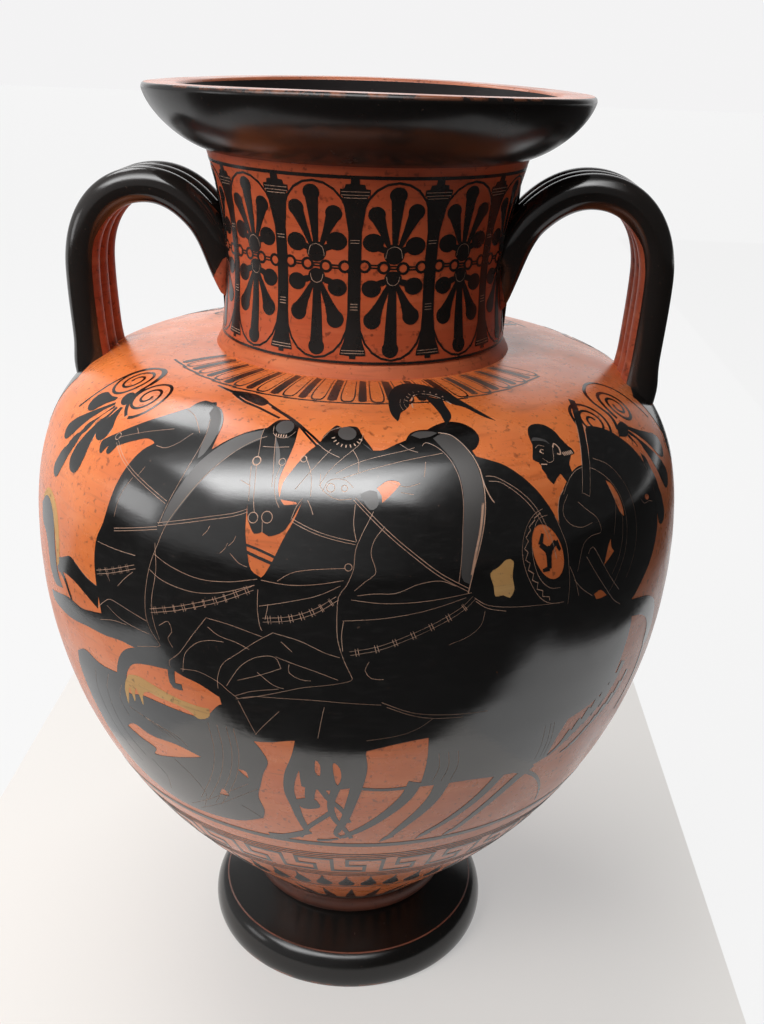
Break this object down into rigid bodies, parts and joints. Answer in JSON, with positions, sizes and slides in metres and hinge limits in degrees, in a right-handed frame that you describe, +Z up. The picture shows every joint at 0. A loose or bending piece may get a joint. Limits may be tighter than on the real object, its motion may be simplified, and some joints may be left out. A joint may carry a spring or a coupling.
{
  "type": "amphora",
  "caption": "Two-handled pottery storage jar with a tall neck, swelling mouth, ovoid body and disc foot, painted black on orange clay.",
  "frame": {"origin": "centre of the foot's resting face", "axes": "+Z up along the axis of the vase, handles along +X and -X, front of the vase towards -Y"},
  "size_m": [0.292, 0.292, 0.42],
  "materials": {
    "clay": "satin fired clay",
    "black_slip": "glossy black slip"
  },
  "bodies": {
    "root": {"mouth": "black_slip", "neck": "clay", "neck_ring": "clay", "body": "clay", "foot_ring": "clay", "foot": "black_slip", "handle_left_front_coil": "black_slip", "handle_left_middle_coil": "black_slip", "handle_left_back_coil": "black_slip", "handle_right_front_coil": "black_slip", "handle_right_middle_coil": "black_slip", "handle_right_back_coil": "black_slip"}
  },
  "joints": []
}
